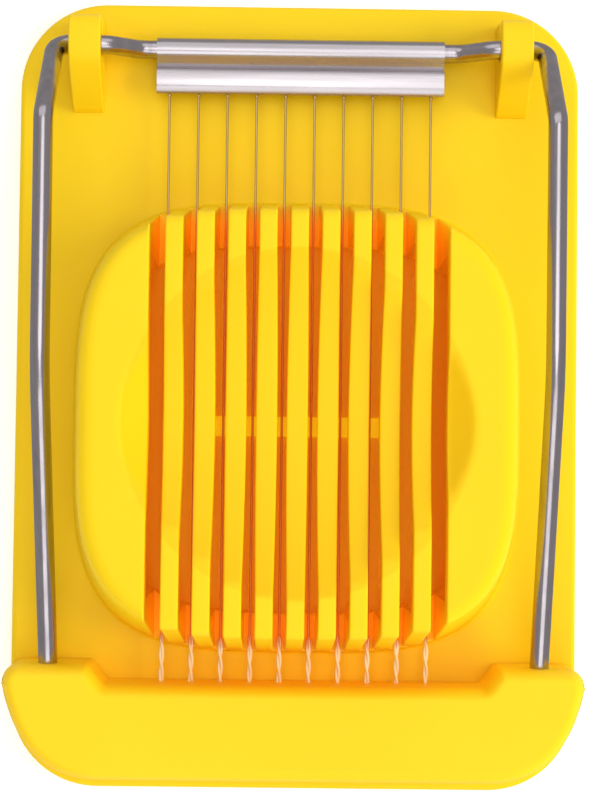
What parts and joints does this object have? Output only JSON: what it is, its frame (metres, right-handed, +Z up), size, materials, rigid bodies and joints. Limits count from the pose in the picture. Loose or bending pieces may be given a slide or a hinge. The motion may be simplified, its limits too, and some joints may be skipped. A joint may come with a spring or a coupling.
{
  "type": "egg slicer",
  "caption": "Hand egg slicer: a moulded base with a slotted egg cradle and a hinged steel frame that carries parallel cutting wires and a front handle.",
  "frame": {"origin": "centre of the outer box at the level the skirt rests on", "axes": "+X right as seen from the handle side with the hinge away, +Y from the handle towards the hinge, +Z up"},
  "size_m": [0.0904, 0.126, 0.0305],
  "materials": {
    "base_plastic": "glossy moulded yellow",
    "handle_plastic": "glossy moulded yellow",
    "rod_steel": "bright drawn steel",
    "strip_steel": "bright rolled sheet",
    "wire_steel": "drawn wire",
    "anchor_steel": "plain steel bar"
  },
  "bodies": {
    "base_body": {"base": "base_plastic"},
    "cutting_frame": {"frame_rod": "rod_steel", "wire_clamp": "strip_steel", "wire_01": "wire_steel", "wire_02": "wire_steel", "wire_03": "wire_steel", "wire_04": "wire_steel", "wire_05": "wire_steel", "wire_06": "wire_steel", "wire_07": "wire_steel", "wire_08": "wire_steel", "wire_09": "wire_steel", "wire_10": "wire_steel", "handle": "handle_plastic", "handle_cover": "handle_plastic", "wire_anchor": "anchor_steel"}
  },
  "joints": [
    {"name": "frame_hinge", "type": "hinge", "parent": "base_body", "child": "cutting_frame", "pos_m": [0, 0.055, 0.011], "axis": [-1, 0, 0], "range_deg": [0, 110]}
  ]
}
